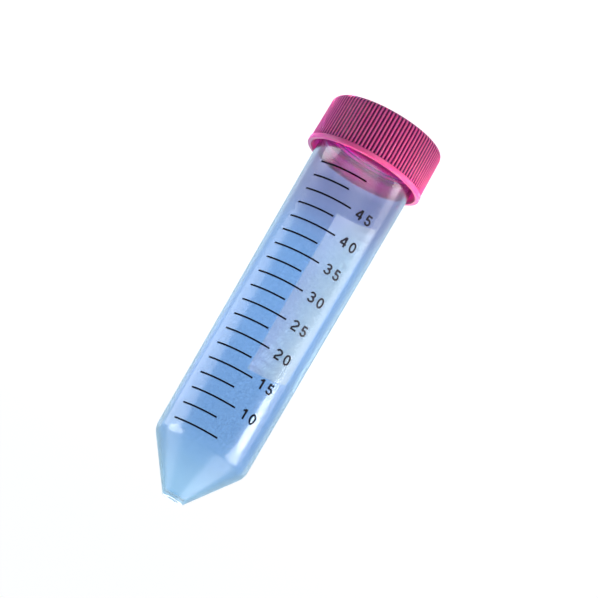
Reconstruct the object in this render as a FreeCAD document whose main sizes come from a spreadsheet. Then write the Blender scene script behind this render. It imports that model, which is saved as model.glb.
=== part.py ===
"""A 50 ml conical centrifuge tube with its screw cap, standing on the cap.

Units are millimetres. The origin is the centre of the cap's flat top face, which
is what the part stands on, and +Z runs up the axis towards the conical tip. The
graduations face -Y. A right-hand thread joins tube and cap, so turning the tube
anticlockwise, seen from above, lifts it off the cap.

Sub-parts: screw_cap, cap_liner, tube, graduation_marks and writing_panel.
"""
import FreeCAD
import Part
import Sketcher

import os
import re

# ---------------------------------------------------------------- driving sizes
SIZES = (
    # screw cap
    ("cap_height", 15.0, "flat top face to mouth"),
    ("cap_top_thickness", 1.6, "disc that closes the cap"),
    ("cap_edge_radius", 2.0, "rounded edge of the flat top"),
    ("cap_mouth_chamfer", 0.35, "both edges of the mouth"),
    ("skirt_gap", 0.35, "skirt clear of the tube's thread"),
    ("skirt_wall_at_band", 1.6, "skirt under the smooth band round the mouth"),
    ("skirt_wall_at_foot", 1.35, "skirt to the rib tips, beside that band"),
    ("skirt_wall_at_head", 1.1, "skirt to the rib tips, at the flat top"),
    ("cap_band_width", 1.4, "smooth band along the axis"),
    ("rib_count", 96, "grip ribs round the skirt"),
    ("groove_depth", 0.38, "depth of the grooves between the ribs"),
    ("groove_width", 0.62, "groove at the rib tips"),
    ("groove_floor_width", 0.26, "groove at its floor"),
    # sealing liner and the bead that keeps it in the cap
    ("liner_thickness", 1.0, "soft disc under the cap's top"),
    ("liner_edge_gap", 0.3, "liner edge to skirt"),
    ("bead_rise", 0.45, "bead above the inside of the skirt"),
    ("bead_width", 0.9, "foot of the bead along the axis"),
    ("bead_crest_width", 0.2, "crest of the bead along the axis"),
    ("bead_gap", 0.25, "liner face to bead"),
    # tube
    ("tube_length", 117.65, "rim to tip"),
    ("neck_height", 11.8, "straight neck under the cap"),
    ("neck_radius", 14.69, "outside of the neck"),
    ("body_draft", 0.795, "how much slimmer the body is where the cone begins"),
    ("cone_length", 14.86, "cone along the axis"),
    ("shoulder_blend", 5.0, "rounding between body and cone, outside"),
    ("bore_blend", 4.0, "rounding between body and cone, inside"),
    ("wall", 1.0, "wall of neck and body"),
    ("rim_chamfer", 0.3, "outer edge of the rim"),
    ("tip_radius", 3.1, "flat end of the cone"),
    ("tip_chamfer", 0.4, "edge of the flat end"),
    ("tip_floor", 1.2, "floor under the end of the bore"),
    ("tip_wall", 0.2, "how much slimmer the bore is at that floor"),
    ("bore_end_blend", 1.8, "rounding at the end of the bore"),
    ("bore_setback", 0.1, "bore's shoulder ahead of the outer one"),
    ("dimple_radius", 1.7, "moulding dimple in the flat end"),
    ("dimple_depth", 0.4, "depth of that dimple"),
    # thread, the same helix on tube and cap
    ("thread_lead", 3.5, "advance in one turn, single start"),
    ("ridge_height", 0.86, "ridge on the tube above the neck"),
    ("ridge_root_width", 1.5, "ridge where it leaves its wall"),
    ("ridge_crest_width", 0.6, "ridge at its crest"),
    ("thread_start", 2.3, "rim to the middle of the first turn"),
    ("tube_thread_stop", 0.875, "far end of the tube's ridge to the end of the neck"),
    ("cap_thread_stop", 0.99, "far end of the cap's ridge to the mouth"),
    ("crest_gap", 0.31, "crest of the cap's ridge to the neck"),
    ("flank_gap", 0.3, "loaded flanks apart, cap screwed home"),
    # print on the tube
    ("ink_thickness", 0.16, "print above the wall"),
    ("first_mark", 3.39, "where the cone begins to the lowest mark"),
    ("mark_step", 2.5, "millilitres from mark to mark"),
    ("mark_count", 19, "marks from the lowest up"),
    ("mark_width", 0.5, "line width"),
    ("mark_edge_angle", 49.6, "end that all marks share, from the front"),
    ("long_mark_angle", 58.4, "arc of every second mark"),
    ("short_mark_angle", 46.4, "arc of the others"),
    ("panel_height", 50.9, "writing panel along the axis"),
    ("panel_width", 13.5, "writing panel straight across"),
    ("panel_corner", 1.3, "its corner radius"),
    ("panel_start", 22.9, "rim to its nearer edge"),
    ("panel_angle", 117.7, "its middle, anticlockwise from +X"),
)
CELLS = {alias: f"Sizes.{alias}" for alias, number, note in SIZES}

MILLILITRE = 1000.0  # cubic millimetres
FREE_AIR = 1.0  # how far a cutting outline runs out past the solid
RIDGE_ROOTING = 0.3  # how deep a thread ridge is rooted in its wall
SAME_PLACE = 1e-4  # edges closer than this are the same edge

document = FreeCAD.newDocument("conical_tube")
sheet = document.addObject("Spreadsheet::Sheet", "Sizes")
for line, (alias, number, note) in enumerate(SIZES, 1):
    sheet.set(f"A{line}", note)
    sheet.set(f"B{line}", str(number))
    sheet.setAlias(f"B{line}", alias)
document.recompute()


# ---------------------------------------------------------------- shared expressions
# Each is written in the sheet's aliases; in_sheet() turns them into cells.
SEAT = "(cap_top_thickness + liner_thickness)"  # what the tube's rim stands on
SHOULDER = "(tube_length - cone_length)"
SHOULDER_RADIUS = "(neck_radius - body_draft)"
TAPER = f"(body_draft / ({SHOULDER} - neck_height))"
THREAD_CREST = "(neck_radius + ridge_height)"
HALF_CREST = "ridge_crest_width / 2"
HALF_ROOT = "ridge_root_width / 2"


def in_sheet(expression):
    """The same expression with every alias written as a cell of the sheet."""
    return re.sub(r"[a-z]\w+", lambda word: CELLS.get(word[0], word[0]), expression)


def value(expression):
    """The number that an expression gives."""
    result = sheet.evalExpression(in_sheet(expression))
    return float(getattr(result, "Value", result))


def bind(item, path, expression):
    """Tie one property of an object to the sheet."""
    item.setExpression(path, in_sheet(expression))


# ---------------------------------------------------------------- small helpers
def origin_feature(body, role):
    """One of a body's own origin planes or axes."""
    return next(item for item in body.Origin.OriginFeatures if item.Role == role)


def new_body(label, lift):
    """An empty body whose frame stands this far up the axis."""
    body = document.addObject("PartDesign::Body", label)
    body.Label = label
    bind(body, "Placement.Base.z", lift)
    return body


def closed_sketch(body, name, plane, corners):
    """A closed outline with straight sides; a corner is a pair of expressions."""
    sketch = body.newObject("Sketcher::SketchObject", name)
    sketch.AttachmentSupport = [(origin_feature(body, plane), "")]
    sketch.MapMode = "FlatFace"
    points = [FreeCAD.Vector(value(across), value(along), 0) for across, along in corners]
    count = len(points)
    for index, point in enumerate(points):
        sketch.addGeometry(Part.LineSegment(point, points[(index + 1) % count]), False)
    for index in range(count):
        joined = Sketcher.Constraint("Coincident", index, 2, (index + 1) % count, 1)
        sketch.addConstraint(joined)
    for index, (across, along) in enumerate(corners):
        pin_corner(sketch, index, "X", across, -2)
        pin_corner(sketch, index, "Y", along, -1)
    return sketch


def pin_corner(sketch, index, letter, expression, zero_line):
    """Tie one coordinate of a corner to its expression, or hold it on an axis."""
    if expression == "0":
        held = Sketcher.Constraint("PointOnObject", index, 1, zero_line)
        sketch.addConstraint(held)
        return
    name = f"corner_{letter}{index}"
    reach = Sketcher.Constraint(f"Distance{letter}", -1, 1, index, 1, value(expression))
    sketch.renameConstraint(sketch.addConstraint(reach), name)
    bind(sketch, f"Constraints.{name}", expression)


def revolve(body, kind, name, corners):
    """Turn a half section round the axis: a corner is its radius and its height."""
    sketch = closed_sketch(body, f"{name}_section", "XZ_Plane", corners)
    feature = body.newObject(f"PartDesign::{kind}", name)
    feature.Profile = sketch
    feature.ReferenceAxis = (sketch, ["V_Axis"])
    feature.Angle = 360
    document.recompute()


def ring_name(shape, radius, height):
    """Name of the circular edge that has this radius at this height."""
    for index, edge in enumerate(shape.Edges, 1):
        if not isinstance(edge.Curve, Part.Circle):
            continue
        off_radius = abs(edge.Curve.Radius - radius)
        off_height = abs(edge.Curve.Center.z - height)
        if max(off_radius, off_height) < SAME_PLACE:
            return f"Edge{index}"
    raise ValueError(f"no ring edge of radius {radius:.3f} at height {height:.3f}")


def ease_ring(body, kind, name, size, radius, height):
    """Round or chamfer the ring edge at this radius and height."""
    base = body.Tip
    feature = body.newObject(f"PartDesign::{kind}", name)
    feature.Base = (base, [ring_name(base.Shape, value(radius), value(height))])
    bind(feature, {"Fillet": "Radius", "Chamfer": "Size"}[kind], size)
    document.recompute()


def thread(body, name, turns, corners):
    """A right-hand helical ridge swept from its section and fused with the body."""
    sketch = closed_sketch(body, f"{name}_section", "XZ_Plane", corners)
    helix = body.newObject("PartDesign::AdditiveHelix", name)
    helix.Profile = sketch
    helix.ReferenceAxis = (sketch, ["V_Axis"])
    helix.Mode = "pitch-turns-angle"
    helix.LeftHanded = False
    helix.Reversed = False
    helix.Angle = 0
    bind(helix, "Pitch", "thread_lead")
    bind(helix, "Turns", turns)
    document.recompute()


# ---------------------------------------------------------------- screw cap
SKIRT_BORE = f"({THREAD_CREST} + skirt_gap)"
BAND_RADIUS = f"({SKIRT_BORE} + skirt_wall_at_band)"
FOOT_RADIUS = f"({SKIRT_BORE} + skirt_wall_at_foot)"
HEAD_RADIUS = f"({SKIRT_BORE} + skirt_wall_at_head)"
BAND_FOOT = "(cap_height - cap_band_width)"
CAP_CREST = "(neck_radius + crest_gap)"
BEAD_START = f"({SEAT} + bead_gap)"
BEAD_FLANK = "((bead_width - bead_crest_width) / 2)"

# With the cap screwed home, its ridge bears on the far flank of the tube's ridge.
# So it lies two half ridges, where they overlap, and a gap further from the rim.
RIDGE_SLOPE = "((ridge_root_width - ridge_crest_width) / 2 / ridge_height)"
FLANK_STEP = f"(ridge_crest_width + {RIDGE_SLOPE} * (ridge_height - crest_gap) + flank_gap)"
CAP_THREAD_START = f"({SEAT} + thread_start + {FLANK_STEP})"
CAP_THREAD_END = f"(cap_height - cap_thread_stop - {HALF_ROOT})"
CAP_TURNS = f"({CAP_THREAD_END} - {CAP_THREAD_START}) / thread_lead"


def build_cap():
    """The cap, one moulding: ribbed skirt, liner bead and thread."""
    body = new_body("screw_cap", "0")
    revolve(body, "Revolution", "shell", (
        ("0", "0"),
        (HEAD_RADIUS, "0"),
        (FOOT_RADIUS, BAND_FOOT),
        (BAND_RADIUS, BAND_FOOT),
        (BAND_RADIUS, "cap_height"),
        (SKIRT_BORE, "cap_height"),
        (SKIRT_BORE, f"{BEAD_START} + bead_width"),
        (f"{SKIRT_BORE} - bead_rise", f"{BEAD_START} + {BEAD_FLANK} + bead_crest_width"),
        (f"{SKIRT_BORE} - bead_rise", f"{BEAD_START} + {BEAD_FLANK}"),
        (SKIRT_BORE, BEAD_START),
        (SKIRT_BORE, "cap_top_thickness"),
        ("0", "cap_top_thickness"),
    ))
    ease_ring(body, "Fillet", "top_edge", "cap_edge_radius", HEAD_RADIUS, "0")
    ease_ring(body, "Chamfer", "mouth_edge", "cap_mouth_chamfer", BAND_RADIUS, "cap_height")
    ease_ring(body, "Chamfer", "mouth_lead_in", "cap_mouth_chamfer", SKIRT_BORE, "cap_height")
    cut_grooves(body)
    thread(body, "cap_thread", CAP_TURNS, (
        (CAP_CREST, f"{CAP_THREAD_START} - {HALF_CREST}"),
        (SKIRT_BORE, f"{CAP_THREAD_START} - {HALF_ROOT}"),
        (f"{SKIRT_BORE} + {RIDGE_ROOTING}", f"{CAP_THREAD_START} - {HALF_ROOT}"),
        (f"{SKIRT_BORE} + {RIDGE_ROOTING}", f"{CAP_THREAD_START} + {HALF_ROOT}"),
        (SKIRT_BORE, f"{CAP_THREAD_START} + {HALF_ROOT}"),
        (CAP_CREST, f"{CAP_THREAD_START} + {HALF_CREST}"),
    ))
    return body


def cut_grooves(body):
    """Cut one groove along the skirt, leaning with the rib tips, and repeat it.

    It starts level with the flat top and runs out in the rounded edge.
    """
    section = closed_sketch(body, "groove_section", "XY_Plane", (
        ("-groove_depth", "groove_floor_width / 2"),
        ("-groove_depth", "-groove_floor_width / 2"),
        ("0", "-groove_width / 2"),
        (f"{FREE_AIR}", "-groove_width / 2"),
        (f"{FREE_AIR}", "groove_width / 2"),
        ("0", "groove_width / 2"),
    ))
    slope = f"((skirt_wall_at_foot - skirt_wall_at_head) / {BAND_FOOT})"
    leaning = FreeCAD.Rotation(FreeCAD.Vector(0, 1, 0), value(f"atan({slope})"))
    section.AttachmentOffset = FreeCAD.Placement(FreeCAD.Vector(), leaning)
    bind(section, "AttachmentOffset.Rotation.Angle", f"atan({slope})")
    bind(section, "AttachmentOffset.Base.x", HEAD_RADIUS)
    groove = body.newObject("PartDesign::Pocket", "groove")
    groove.Profile = section
    groove.Reversed = True
    bind(groove, "Length", BAND_FOOT)
    document.recompute()
    grooves = body.newObject("PartDesign::PolarPattern", "grooves")
    grooves.Originals = [groove]
    grooves.Axis = (origin_feature(body, "Z_Axis"), [""])
    grooves.Angle = 360
    bind(grooves, "Occurrences", "rib_count")
    body.Tip = grooves
    document.recompute()


# ---------------------------------------------------------------- liner
def build_liner():
    """The soft disc that the tube's rim presses on, loose under the cap's bead."""
    body = new_body("cap_liner", "cap_top_thickness")
    revolve(body, "Revolution", "disc", (
        ("0", "0"),
        (f"{SKIRT_BORE} - liner_edge_gap", "0"),
        (f"{SKIRT_BORE} - liner_edge_gap", "liner_thickness"),
        ("0", "liner_thickness"),
    ))
    return body


# ---------------------------------------------------------------- tube
BORE_SHOULDER = f"({SHOULDER} - bore_setback)"
BORE_FLOOR = "(tube_length - tip_floor)"
TUBE_THREAD_END = f"(neck_height - tube_thread_stop - {HALF_ROOT})"
TUBE_TURNS = f"({TUBE_THREAD_END} - thread_start) / thread_lead"


def build_tube():
    """The tube, one moulding: threaded neck, tapering body, cone and flat tip."""
    body = new_body("tube", SEAT)
    revolve(body, "Revolution", "outside", (
        ("0", "0"),
        ("neck_radius", "0"),
        ("neck_radius", "neck_height"),
        (SHOULDER_RADIUS, SHOULDER),
        ("tip_radius", "tube_length"),
        ("0", "tube_length"),
    ))
    ease_ring(body, "Fillet", "shoulder", "shoulder_blend", SHOULDER_RADIUS, SHOULDER)
    ease_ring(body, "Chamfer", "rim_edge", "rim_chamfer", "neck_radius", "0")
    ease_ring(body, "Chamfer", "tip_edge", "tip_chamfer", "tip_radius", "tube_length")
    revolve(body, "Groove", "bore", (
        ("0", f"-{FREE_AIR}"),
        ("neck_radius - wall", f"-{FREE_AIR}"),
        ("neck_radius - wall", "neck_height"),
        (f"{SHOULDER_RADIUS} - wall", BORE_SHOULDER),
        ("tip_radius - tip_wall", BORE_FLOOR),
        ("0", BORE_FLOOR),
    ))
    ease_ring(body, "Fillet", "bore_shoulder", "bore_blend",
              f"{SHOULDER_RADIUS} - wall", BORE_SHOULDER)
    ease_ring(body, "Fillet", "bore_end", "bore_end_blend", "tip_radius - tip_wall", BORE_FLOOR)
    revolve(body, "Groove", "dimple", (
        ("0", "tube_length - dimple_depth"),
        ("dimple_radius", "tube_length - dimple_depth"),
        ("dimple_radius", f"tube_length + {FREE_AIR}"),
        ("0", f"tube_length + {FREE_AIR}"),
    ))
    thread(body, "tube_thread", TUBE_TURNS, (
        (f"neck_radius - {RIDGE_ROOTING}", f"thread_start - {HALF_ROOT}"),
        ("neck_radius", f"thread_start - {HALF_ROOT}"),
        (THREAD_CREST, f"thread_start - {HALF_CREST}"),
        (THREAD_CREST, f"thread_start + {HALF_CREST}"),
        ("neck_radius", f"thread_start + {HALF_ROOT}"),
        (f"neck_radius - {RIDGE_ROOTING}", f"thread_start + {HALF_ROOT}"),
    ))
    return body


# ---------------------------------------------------------------- print on the tube
FIRST_LEVEL = f"({SHOULDER} - first_mark)"
BORE_AT_FIRST = f"({SHOULDER_RADIUS} - wall + {TAPER} * first_mark)"


def build_ink_layer(name):
    """A skin of ink all round the tapering body, to be cut to its outline."""
    cones = []
    for surface, ink in (("outside", "ink_thickness"), ("inside", "0")):
        cone = document.addObject("Part::Cone", f"{name}_{surface}")
        bind(cone, "Radius1", f"neck_radius + {ink}")
        bind(cone, "Radius2", f"{SHOULDER_RADIUS} + {ink}")
        bind(cone, "Height", f"{SHOULDER} - neck_height")
        bind(cone, "Placement.Base.z", f"{SEAT} + neck_height")
        cones.append(cone)
    layer = document.addObject("Part::Cut", f"{name}_layer")
    layer.Base, layer.Tool = cones
    return layer


def mark_rise(volume):
    """How far above the lowest mark this many more millilitres fill the bore."""
    added = f"3 * {TAPER} * {MILLILITRE} * {volume} / pi"
    return f"((cbrt({BORE_AT_FIRST} ^ 3 + {added}) - {BORE_AT_FIRST}) / {TAPER})"


def build_marks():
    """The graduation: arcs of ink, each at the level that its volume reaches."""
    arcs = []
    for index in range(round(value("mark_count"))):
        arc_angle = "short_mark_angle" if index % 2 else "long_mark_angle"
        level = f"({FIRST_LEVEL} - {mark_rise(f'{index} * mark_step')})"
        arc = document.addObject("Part::Cylinder", f"mark_arc_{index}")
        bind(arc, "Radius", f"neck_radius + {FREE_AIR}")
        bind(arc, "Height", "mark_width")
        bind(arc, "Angle", arc_angle)
        bind(arc, "Placement.Base.z", f"{SEAT} + {level} - mark_width / 2")
        bind(arc, "Placement.Rotation.Angle", f"mark_edge_angle - 90 - {arc_angle}")
        arcs.append(arc)
    field = document.addObject("Part::Compound", "mark_arcs")
    field.Links = arcs
    marks = document.addObject("Part::Common", "graduation_marks")
    marks.Label = "graduation_marks"
    marks.Base = build_ink_layer("mark_ink")
    marks.Tool = field
    return marks


def build_panel():
    """The frosted writing panel: a rectangle with round corners laid on the wall."""
    block = new_body("panel_block", SEAT)
    bind(block, "Placement.Rotation.Angle", "panel_angle - 90")
    outline = closed_sketch(block, "panel_outline", "XZ_Plane", (
        ("-panel_width / 2", "panel_start"),
        ("panel_width / 2", "panel_start"),
        ("panel_width / 2", "panel_start + panel_height"),
        ("-panel_width / 2", "panel_start + panel_height"),
    ))
    pad = block.newObject("PartDesign::Pad", "panel_pad")
    pad.Profile = outline
    pad.Reversed = True
    bind(pad, "Length", f"neck_radius + {FREE_AIR}")
    document.recompute()
    corners = []
    for index, edge in enumerate(pad.Shape.Edges, 1):
        if abs(edge.tangentAt(edge.FirstParameter).y) > 1 - SAME_PLACE:
            corners.append(f"Edge{index}")
    rounding = block.newObject("PartDesign::Fillet", "panel_corners")
    rounding.Base = (pad, corners)
    bind(rounding, "Radius", "panel_corner")
    panel = document.addObject("Part::Common", "writing_panel")
    panel.Label = "writing_panel"
    panel.Base = build_ink_layer("panel_ink")
    panel.Tool = block
    return panel


# ---------------------------------------------------------------- check and write
sub_parts = [build_cap(), build_liner(), build_tube(), build_marks(), build_panel()]
document.recompute()
for item in document.Objects:
    if "Invalid" in item.State or "Error" in item.State:
        raise RuntimeError(f"{item.Label} failed: {item.State}")
for sub_part in sub_parts:
    if sub_part.Shape.isNull() or not sub_part.Shape.isValid():
        raise RuntimeError(f"{sub_part.Label} has no valid shape")

os.makedirs("parts", exist_ok=True)
for sub_part in sub_parts:
    shape = sub_part.Shape
    shape.exportStep(f"parts/{sub_part.Label}.step")
    print(f"{sub_part.Label}: {len(shape.Solids)} solids, {len(shape.Faces)} faces,"
          f" {shape.Volume:.2f} mm3")
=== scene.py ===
# %% [markdown]
# # A 50 ml conical tube, standing on its screw cap
#
# The real object is two mouldings and some print: a clear, blue-tinted tube with
# a conical tip, a pink cap with fine grip ribs, a black scale with numbers, and
# a frosted white panel to write on. Inside the cap lies a thin foam liner.
#
# Almost everything here is round about one axis, so most shapes start as a half
# section that Geometry Nodes sweep round a circle. What breaks that roundness,
# the ribs, the thread and the print, is then added by a rule: how far a point
# moves depends only on its height and on its angle about the axis.

# %% Load the frame
import math

import bpy
from mathutils import Matrix, Vector


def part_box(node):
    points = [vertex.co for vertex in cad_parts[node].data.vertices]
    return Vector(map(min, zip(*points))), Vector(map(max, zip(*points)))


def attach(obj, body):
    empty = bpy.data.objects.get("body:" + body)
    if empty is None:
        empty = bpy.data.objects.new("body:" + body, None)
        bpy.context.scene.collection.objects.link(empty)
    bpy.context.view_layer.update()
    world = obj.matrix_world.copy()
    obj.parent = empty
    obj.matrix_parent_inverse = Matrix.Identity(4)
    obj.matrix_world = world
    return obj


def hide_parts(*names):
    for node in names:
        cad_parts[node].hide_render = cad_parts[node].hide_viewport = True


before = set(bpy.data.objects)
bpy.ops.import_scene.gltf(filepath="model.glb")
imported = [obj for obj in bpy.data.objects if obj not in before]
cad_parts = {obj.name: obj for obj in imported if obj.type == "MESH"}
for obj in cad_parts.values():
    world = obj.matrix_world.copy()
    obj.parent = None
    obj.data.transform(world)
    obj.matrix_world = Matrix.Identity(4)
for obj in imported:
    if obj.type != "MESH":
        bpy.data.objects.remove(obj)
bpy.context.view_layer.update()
MM = 0.001
print("nodes:", sorted(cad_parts))

# %% [markdown]
# ## Sizes
#
# The frame gives the places that matter: where the cap's flat top, its mouth,
# the tube's rim and the tip are. The other sizes are those of the mouldings,
# in metres, and each is named where it is first needed. Angles round the tube
# are called azimuths. They count from the front, and grow to the right when the
# tube is held with its cap up, so the print can be laid out as it is read.

# %% Places and sizes
CAP_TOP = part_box("screw_cap")[0].z
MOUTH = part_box("screw_cap")[1].z
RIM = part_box("tube")[0].z
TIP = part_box("tube")[1].z

NECK_RADIUS = 14.69 * MM
NECK_END = RIM + 11.8 * MM
SHOULDER = TIP - 14.86 * MM
SHOULDER_RADIUS = 13.895 * MM
WALL = 1.0 * MM
TAPER = (NECK_RADIUS - SHOULDER_RADIUS) / (SHOULDER - NECK_END)
print(f"the tube is {1000 * (TIP - RIM):.1f} mm long and tapers {TAPER:.4f} mm per mm")


# %% [markdown]
# ## Writing sums as nodes
#
# Geometry Nodes and materials both do arithmetic with Math nodes, and a formula
# of ten terms is ten nodes to place and wire. A small class can do that wiring:
# it holds one socket, and each `+` or `*` adds the node and the links. The same
# class serves both kinds of tree, because they share the Math node.

# %% A socket that can be added and multiplied
class Field:
    """A number that changes from point to point, held as a socket of a node tree."""

    def __init__(self, tree, socket):
        self.tree = tree
        self.socket = socket

    def math(self, operation, *others):
        node = self.tree.nodes.new("ShaderNodeMath")
        node.operation = operation
        for slot, item in enumerate((self, *others)):
            plug(self.tree, item, node.inputs[slot])
        return Field(self.tree, node.outputs[0])

    def __add__(self, other):
        return self.math("ADD", other)

    def __sub__(self, other):
        return self.math("SUBTRACT", other)

    def __mul__(self, other):
        return self.math("MULTIPLY", other)

    def __truediv__(self, other):
        return self.math("DIVIDE", other)

    def above(self, limit):
        """1 where the number is greater than the limit, and 0 elsewhere."""
        return self.math("GREATER_THAN", limit)

    def below(self, limit):
        """1 where the number is less than the limit, and 0 elsewhere."""
        return self.math("LESS_THAN", limit)

    def ramp(self, start, end):
        """0 at start, 1 at end, and an S curve between them."""
        node = self.tree.nodes.new("ShaderNodeMapRange")
        node.interpolation_type = "SMOOTHSTEP"
        plug(self.tree, self, node.inputs["Value"])
        plug(self.tree, start, node.inputs["From Min"])
        plug(self.tree, end, node.inputs["From Max"])
        return Field(self.tree, node.outputs["Result"])

    def between(self, low, high, soft):
        """1 between the two numbers, with a soft edge just outside each."""
        return self.ramp(low - soft, low) * self.ramp(high + soft, high)


# %% Nodes and vectors
def plug(tree, item, socket):
    """Link a field or a socket to an input, or set the input to a plain value."""
    if isinstance(item, Field):
        item = item.socket
    if isinstance(item, bpy.types.NodeSocket):
        tree.links.new(item, socket)
    else:
        socket.default_value = item


def add_node(tree, kind, settings=None, **inputs):
    """One node with its settings and its inputs, named with _ for a space."""
    node = tree.nodes.new(kind)
    for name, setting in (settings or {}).items():
        setattr(node, name, setting)
    for name, item in inputs.items():
        plug(tree, item, node.inputs[name.replace("_", " ")])
    return node


def split(tree, vector):
    """The three fields of a vector."""
    node = add_node(tree, "ShaderNodeSeparateXYZ", Vector=vector)
    return [Field(tree, socket) for socket in node.outputs]


def join(tree, x, y, z):
    """A vector from three fields or numbers."""
    return add_node(tree, "ShaderNodeCombineXYZ", X=x, Y=y, Z=z).outputs[0]


def around_axis(tree, place):
    """Radius, turns round the axis from 0 to 1, and height of a place."""
    x, y, z = split(tree, place)
    radius = (x * x + y * y).math("SQRT")
    turn = (y.math("ARCTAN2", x) / math.tau).math("FRACT")
    return radius, turn, z


# %% [markdown]
# ## The half section
#
# A turned or moulded shape is best described the way a drawing does: a few
# corners, each with its radius, its height and how much it is rounded. A Bevel
# modifier could round the swept shape instead, but it rounds all its edges
# alike. The helper below puts an arc at each rounded corner, and it can add
# points along a straight run, where a later step needs something to push.

# %% Corners with arcs
ARC_STEP = math.radians(9)
CLEAR_OF_ARC = 1.1


def arc(before, corner, after, rounding):
    """Points of the arc that rounds one corner."""
    to_before = (before - corner).normalized()
    to_after = (after - corner).normalized()
    half = to_before.angle(to_after) / 2
    centre = corner + (to_before + to_after).normalized() * rounding / math.sin(half)
    start = corner + to_before * rounding / math.tan(half) - centre
    sweep = start.angle_signed(corner + to_after * rounding / math.tan(half) - centre)
    count = max(2, math.ceil(abs(sweep) / ARC_STEP))
    return [centre + Matrix.Rotation(-sweep * share / count, 2) @ start
            for share in range(count + 1)]


def rounded(corners):
    """Points of an open outline: a corner is radius, height, rounding and step."""
    points = []
    for index, (radius, height, rounding, step) in enumerate(corners):
        here = Vector((radius, height))
        if rounding:
            before = Vector(corners[index - 1][:2])
            after = Vector(corners[index + 1][:2])
            points += arc(before, here, after, rounding)
        else:
            points.append(here)
        if step:
            start = points[-1]
            end = Vector(corners[index + 1][:2])
            kept_clear = corners[index + 1][2] * CLEAR_OF_ARC
            count = round((end - start).length / step)
            run = [start.lerp(end, share / count) for share in range(1, count)]
            points += [point for point in run if (end - point).length > kept_clear]
    return points


right_angle = ((0, 0, 0, 0), (1, 0, 0.2, 0), (1, 1, 0, 0))
print(f"a right angle with its corner rounded takes {len(rounded(right_angle))} points")

# %% [markdown]
# ## Node trees with named inputs
#
# Each tree below is a tool with a few named sizes, so that it can be used twice
# or changed by hand later. `tree_of` makes the empty tree with its sockets, and
# `grow` runs trees on a starting shape and keeps the result as a plain mesh,
# because an exporter drops anything that only exists while a modifier runs.

# %% Making trees
CURVE_OR_MESH = "NodeSocketGeometry"


def tree_of(name, **numbers):
    """A Geometry Nodes tree with a number input for each name, and its inputs."""
    tree = bpy.data.node_groups.new(name, "GeometryNodeTree")
    tree.interface.new_socket("Geometry", in_out="INPUT", socket_type=CURVE_OR_MESH)
    for label, number in numbers.items():
        socket = tree.interface.new_socket(label, in_out="INPUT", socket_type="NodeSocketFloat")
        socket.default_value = number
    tree.interface.new_socket("Material", in_out="INPUT", socket_type="NodeSocketMaterial")
    tree.interface.new_socket("Geometry", in_out="OUTPUT", socket_type=CURVE_OR_MESH)
    sockets = tree.nodes.new("NodeGroupInput").outputs
    return tree, {socket.name: Field(tree, socket) for socket in sockets}


def end_tree(tree, shape, given):
    """Close a tree: real geometry only, with its material."""
    real = add_node(tree, "GeometryNodeRealizeInstances", Geometry=shape)
    painted = add_node(tree, "GeometryNodeSetMaterial", Geometry=real.outputs[0],
                       Material=given["Material"])
    plug(tree, painted.outputs[0], tree.nodes.new("NodeGroupOutput").inputs[0])
    print(f"tree {tree.name}: {len(tree.nodes)} nodes")
    return tree


# %% Running trees
def grow(name, start, steps):
    """Run trees on a starting object, and return the result as a plain mesh object."""
    for tree, settings in steps:
        modifier = start.modifiers.new(tree.name, "NODES")
        modifier.node_group = tree
        for item in tree.interface.items_tree:
            if item.in_out == "INPUT" and item.name in settings:
                modifier[item.identifier] = settings[item.name]
    graph = bpy.context.evaluated_depsgraph_get()
    mesh = bpy.data.meshes.new_from_object(start.evaluated_get(graph))
    bpy.data.objects.remove(start)
    piece = bpy.data.objects.new(name, mesh)
    bpy.context.scene.collection.objects.link(piece)
    spans = [[vertex.co[axis] for vertex in mesh.vertices] for axis in range(3)]
    size = " x ".join(f"{1000 * (max(span) - min(span)):.2f}" for span in spans)
    triangles = sum(len(face.vertices) - 2 for face in mesh.polygons)
    print(f"{name}: {triangles} triangles, {size} mm")
    return piece


def shown(piece, body, slot, *nodes):
    """Seat a finished piece on the body it rides on, and hide the nodes it stands for; the slot
    is not used.
    """
    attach(piece, body)
    if nodes:
        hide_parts(*nodes)


# %% [markdown]
# ## Sweeping the section round the axis
#
# Curve to Mesh normally draws a pipe, but with a circle as the path and the
# half section as the profile it is a lathe. Every profile point becomes one
# ring. The section stands a little inside the path, so its radii are measured
# from the path's own radius, and heights are negative, because the profile's
# upward side points down there. The points on the axis all fall on one spot, and
# Merge by Distance closes them to a pole. A Screw modifier would sweep as well,
# but a tree can be followed by other trees that read the same mesh.

# %% The lathe tree
SWEEP_RADIUS = 10 * MM
ROUND_COLUMNS = 256.0


def lathe_tree():
    tree, given = tree_of("lathe", Columns=ROUND_COLUMNS)
    circle = add_node(tree, "GeometryNodeCurvePrimitiveCircle", Radius=SWEEP_RADIUS,
                      Resolution=given["Columns"])
    swept = add_node(tree, "GeometryNodeCurveToMesh", Curve=circle.outputs[0],
                     Profile_Curve=given["Geometry"])
    closed = add_node(tree, "GeometryNodeMergeByDistance", Geometry=swept.outputs[0],
                      Distance=0.002 * MM)
    smooth = add_node(tree, "GeometryNodeSetShadeSmooth", Geometry=closed.outputs[0])
    return end_tree(tree, smooth.outputs[0], given)


def section_curve(name, corners):
    """The half section as a curve, ready for the lathe."""
    points = rounded(corners)
    curve = bpy.data.curves.new(name, "CURVE")
    curve.dimensions = "3D"
    line = curve.splines.new("POLY")
    line.points.add(len(points) - 1)
    for spot, (radius, height) in zip(line.points, points):
        spot.co = (radius - SWEEP_RADIUS, -height, 0, 1)
    section = bpy.data.objects.new(name, curve)
    bpy.context.scene.collection.objects.link(section)
    print(f"{name}: {len(points)} points from {len(corners)} corners")
    return section


LATHE = lathe_tree()


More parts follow.
